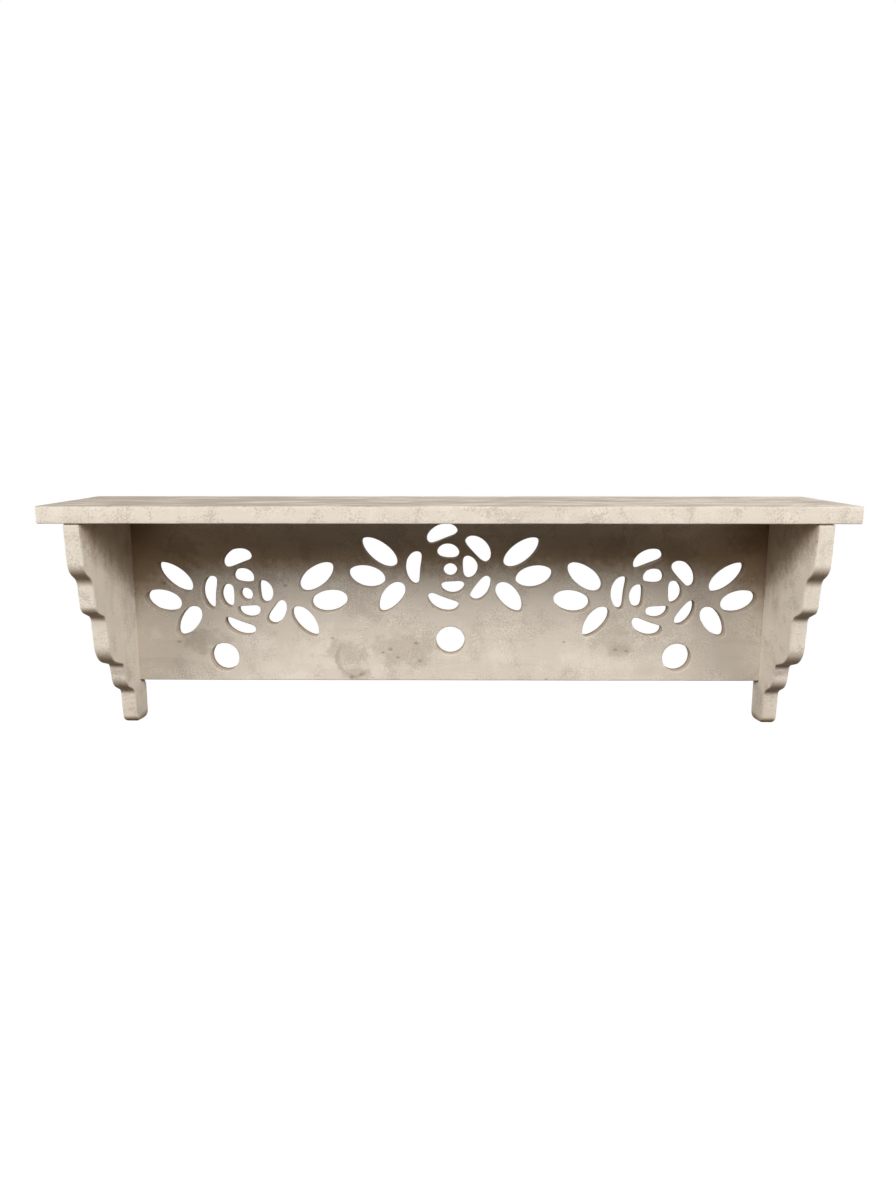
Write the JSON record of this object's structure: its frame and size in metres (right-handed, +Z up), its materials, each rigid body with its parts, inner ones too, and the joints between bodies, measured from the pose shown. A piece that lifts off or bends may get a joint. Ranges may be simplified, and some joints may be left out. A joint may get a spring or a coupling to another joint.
{
  "type": "wall shelf",
  "caption": "Painted wooden wall shelf: a plain board on scalloped side brackets, with a back panel pierced by rosettes, leaves and round holes, hung on keyhole hangers.",
  "frame": {"origin": "on the back face of the panel, which lies against the wall, halfway along the shelf and 105 mm below the top of the shelf board, on the wood between the middle rosette and the round hole under it", "axes": "+X along the shelf to the right as seen from the front, +Y into the wall, +Z up; the front of the shelf faces -Y"},
  "size_m": [0.61, 0.116, 0.1963],
  "materials": {
    "shelf_paint": "matte cream chalk paint over wood, brushed along the board, edges rubbed",
    "panel_paint": "matte cream chalk paint over wood, mottled, with faint grime",
    "bracket_paint": "matte cream chalk paint over wood, speckled, edges rubbed",
    "dowel_wood": "bare beech",
    "zinc_steel": "dull zinc plate"
  },
  "bodies": {
    "root": {"shelf_board": "shelf_paint", "back_panel": "panel_paint", "left_bracket": "bracket_paint", "right_bracket": "bracket_paint", "left_front_dowel": "dowel_wood", "left_rear_dowel": "dowel_wood", "right_front_dowel": "dowel_wood", "right_rear_dowel": "dowel_wood", "left_panel_dowel": "dowel_wood", "right_panel_dowel": "dowel_wood", "left_upper_screw": "zinc_steel", "left_lower_screw": "zinc_steel", "right_upper_screw": "zinc_steel", "right_lower_screw": "zinc_steel", "left_keyhole_hanger": "zinc_steel", "right_keyhole_hanger": "zinc_steel", "left_hanger_upper_screw": "zinc_steel", "left_hanger_lower_screw": "zinc_steel", "right_hanger_upper_screw": "zinc_steel", "right_hanger_lower_screw": "zinc_steel"}
  },
  "joints": []
}
